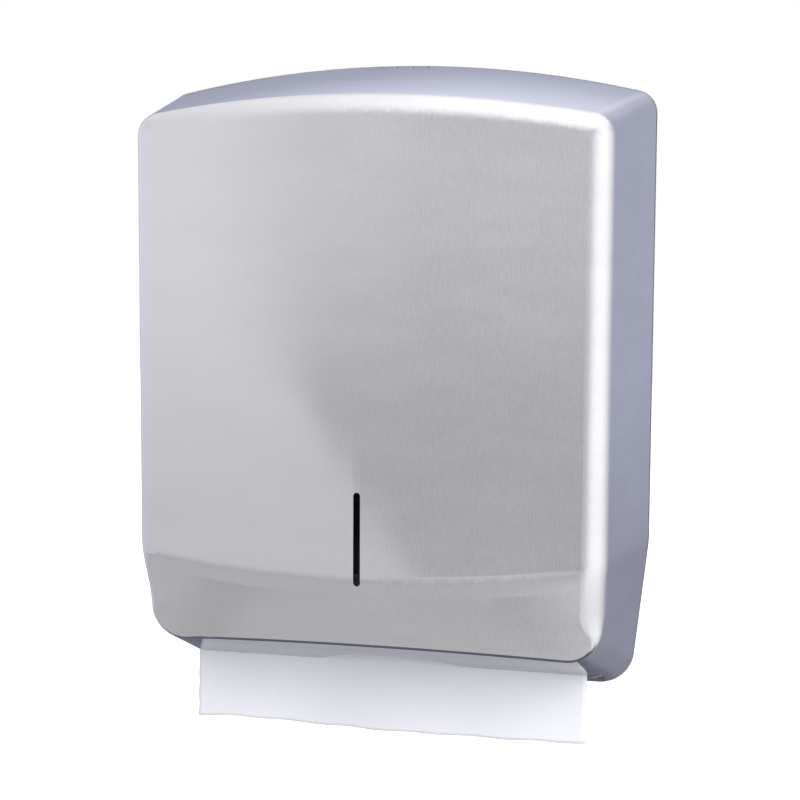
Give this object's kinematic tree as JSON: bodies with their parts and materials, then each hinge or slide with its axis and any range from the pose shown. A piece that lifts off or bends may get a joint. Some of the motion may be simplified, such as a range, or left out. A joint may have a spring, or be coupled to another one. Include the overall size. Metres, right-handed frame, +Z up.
{
  "type": "folded towel dispenser",
  "caption": "Wall-mounted folded paper towel dispenser: a brushed steel cover hinged at its top over a back plate with towel guides, a tray with an open throat and a side lock.",
  "frame": {"origin": "middle of the rectangle of four wall screw holes, on the back plate's rear face", "axes": "+X to the right seen from the front, +Y into the wall, +Z up"},
  "size_m": [0.305, 0.115, 0.4073],
  "materials": {
    "cover_steel": "fine upright brushing, satin",
    "sheet_steel": "plain rolled sheet, dull",
    "rivet_metal": "smooth, satin",
    "pin_steel": "smooth turned steel",
    "lock_chrome": "polished",
    "lock_zinc": "dull zinc plating",
    "buffer_rubber": "matte",
    "towel_paper": "soft white paper with a fine emboss"
  },
  "bodies": {
    "chassis": {"back_plate": "sheet_steel", "side_guide_left": "sheet_steel", "side_guide_right": "sheet_steel", "paper_tray": "sheet_steel", "guide_rivets": "rivet_metal", "tray_rivets": "rivet_metal", "keeper_rivets": "rivet_metal", "hinge_rivets": "rivet_metal", "hinge_leaf_wall": "sheet_steel", "hinge_pin": "pin_steel", "lock_keeper": "sheet_steel", "rubber_buffers": "buffer_rubber", "towel_stack": "towel_paper"},
    "cover": {"cover_shell": "cover_steel", "hinge_leaf_cover": "sheet_steel", "lock_body": "lock_chrome", "lock_washer": "lock_zinc", "lock_nut": "lock_zinc"},
    "lock_cylinder": {"lock_plug": "lock_chrome", "lock_cam": "lock_zinc", "cam_screw": "lock_zinc"},
    "towel": {"towel_tail": "towel_paper"}
  },
  "joints": [
    {"name": "cover_hinge", "type": "hinge", "parent": "chassis", "child": "cover", "pos_m": [0, -0.0038, 0.1849], "axis": [-1, 0, 0], "range_deg": [0, 100]},
    {"name": "lock_turn", "type": "hinge", "parent": "cover", "child": "lock_cylinder", "pos_m": [-0.14766, -0.034, -0.0605], "axis": [-0.99, -0.1409, 0], "range_deg": [0, 90]},
    {"name": "towel_pull", "type": "slide", "parent": "chassis", "child": "towel", "axis": [0, 0, -1], "range_m": [0, 0.034]}
  ]
}
